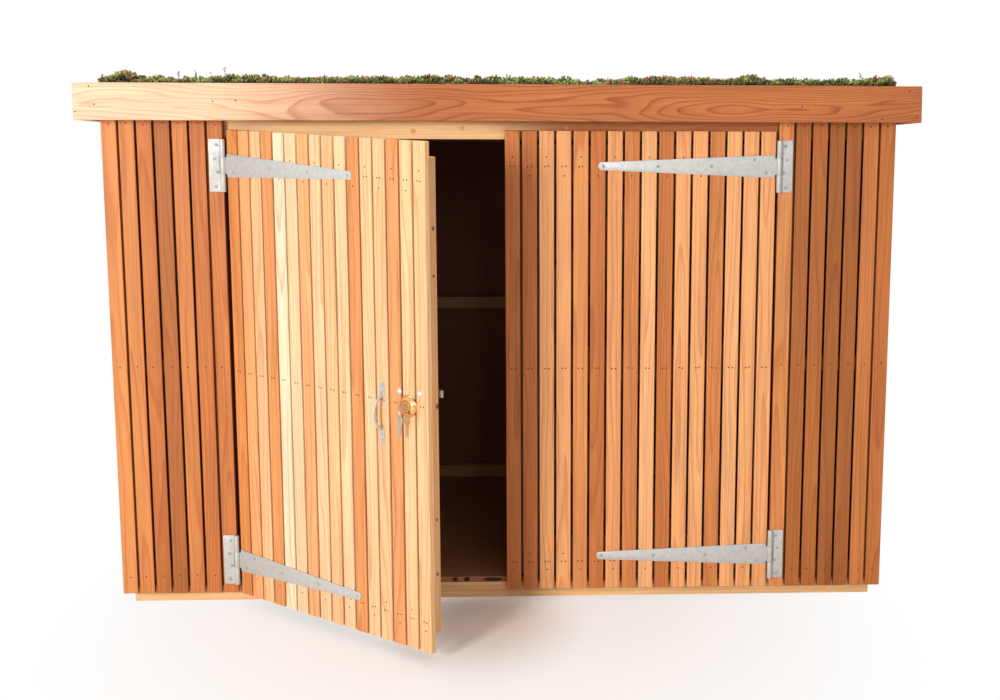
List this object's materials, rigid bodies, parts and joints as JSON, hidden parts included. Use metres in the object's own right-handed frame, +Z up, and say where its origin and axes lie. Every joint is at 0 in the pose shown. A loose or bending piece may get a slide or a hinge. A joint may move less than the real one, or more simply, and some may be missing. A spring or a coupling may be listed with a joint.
{
  "type": "bike shelter",
  "caption": "Low slatted timber bike shelter with a planted roof and a pair of braced doors on strap hinges, one of them with a lock and pull handle.",
  "frame": {"origin": "on the ground under the middle of the base", "axes": "+Z up, the doors face -Y, +X to the right when looking at the doors from outside"},
  "size_m": [2.124, 1.6461, 1.3842],
  "materials": {
    "cladding_timber": "clear oiled softwood with a planed face",
    "framing_timber": "planed pale softwood with knots",
    "plywood": "sanded plywood with open edge layers",
    "galvanised_steel": "hot dip galvanised, faintly spangled",
    "key_steel": "bright nickel plate",
    "brass": "satin brass",
    "lock_paint": "black enamel",
    "substrate": "loose crushed brick and compost",
    "sedum": "low matted planting"
  },
  "bodies": {
    "shelter": {"base_bearers": "framing_timber", "base_joists": "framing_timber", "floor_deck": "plywood", "wall_posts": "framing_timber", "wall_studs": "framing_timber", "front_panel_rails": "framing_timber", "side_wall_rails": "framing_timber", "back_wall_rails": "framing_timber", "front_lintel": "framing_timber", "side_sheathing": "plywood", "back_sheathing": "plywood", "front_left_battens": "cladding_timber", "front_right_battens": "cladding_timber", "left_side_battens": "cladding_timber", "right_side_battens": "cladding_timber", "back_battens": "cladding_timber", "roof_rim": "framing_timber", "roof_joists": "framing_timber", "roof_deck": "plywood", "front_fascia": "cladding_timber", "back_fascia": "cladding_timber", "side_fascias": "cladding_timber", "roof_substrate": "substrate", "sedum_mat": "sedum", "left_hinge_plates": "galvanised_steel", "right_hinge_plates": "galvanised_steel"},
    "left_door": {"left_door_battens": "cladding_timber", "left_door_stiles": "framing_timber", "left_door_rails": "framing_timber", "left_door_braces": "framing_timber", "left_hinge_straps": "galvanised_steel", "pull_handle": "galvanised_steel", "lock_rose": "brass", "lock_cylinder": "brass", "lock_key": "key_steel", "key_ring": "key_steel", "lock_case": "lock_paint", "lock_bolt": "brass"},
    "right_door": {"right_door_battens": "cladding_timber", "right_door_stiles": "framing_timber", "right_door_rails": "framing_timber", "right_door_braces": "framing_timber", "right_hinge_straps": "galvanised_steel", "lock_keep": "galvanised_steel", "tower_bolts": "galvanised_steel"}
  },
  "joints": [
    {"name": "left_door_swing", "type": "hinge", "parent": "shelter", "child": "left_door", "pos_m": [-0.709, -0.5672, 0.6], "axis": [0, 0, -1], "range_deg": [-41.4, 125]},
    {"name": "right_door_swing", "type": "hinge", "parent": "shelter", "child": "right_door", "pos_m": [0.709, -0.5672, 0.6], "axis": [0, 0, 1], "range_deg": [0, 165]}
  ]
}
